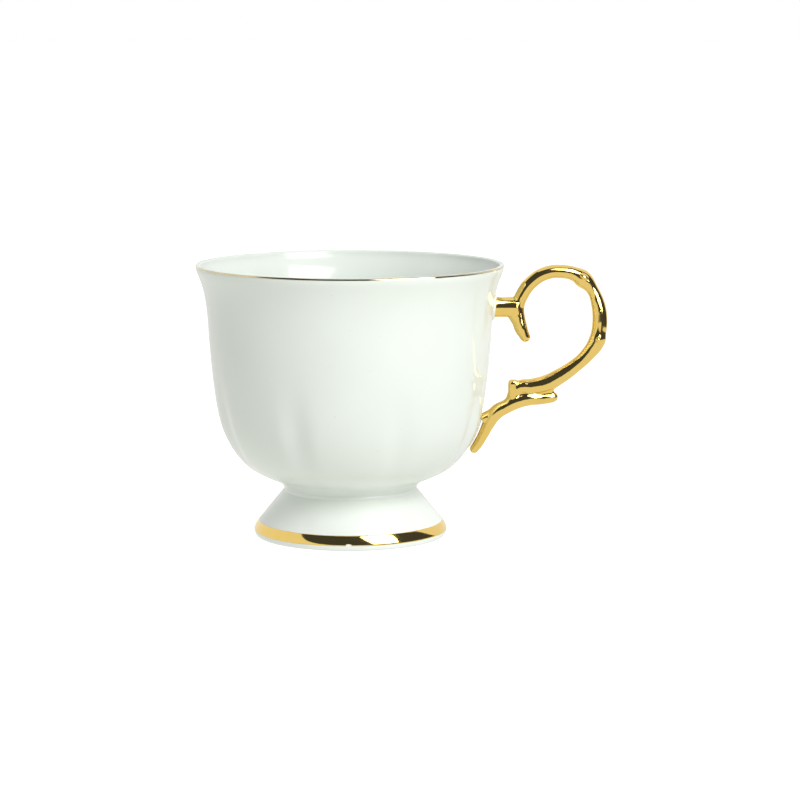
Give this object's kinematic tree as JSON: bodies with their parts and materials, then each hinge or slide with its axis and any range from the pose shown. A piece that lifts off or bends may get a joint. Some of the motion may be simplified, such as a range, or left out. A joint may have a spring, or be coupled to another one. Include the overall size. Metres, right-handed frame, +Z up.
{
  "type": "footed teacup with scroll handle",
  "caption": "Footed porcelain teacup: flared lobed bowl on a hollow pedestal foot, scroll handle in bright gold, gilt rim line and gilt foot band.",
  "frame": {"origin": "on the resting surface, under the middle of the whole cup with its handle; the bowl's upright axis is at x = -0.0152", "axes": "+Z up, +X from the bowl towards the handle, XZ is the cup's plane of symmetry"},
  "size_m": [0.1204, 0.09, 0.08],
  "materials": {
    "porcelain_glaze": "clear gloss glaze over cool white porcelain",
    "fired_slip": "white slip under clear glaze",
    "bright_gold": "bright gold fired over the glaze, mirror-like"
  },
  "bodies": {
    "root": {"bowl": "porcelain_glaze", "pedestal_foot": "porcelain_glaze", "foot_slip_joint": "fired_slip", "handle": "bright_gold", "upper_handle_slip": "fired_slip", "lower_handle_slip": "fired_slip", "rim_gilding": "bright_gold", "foot_gilding": "bright_gold"}
  },
  "joints": []
}
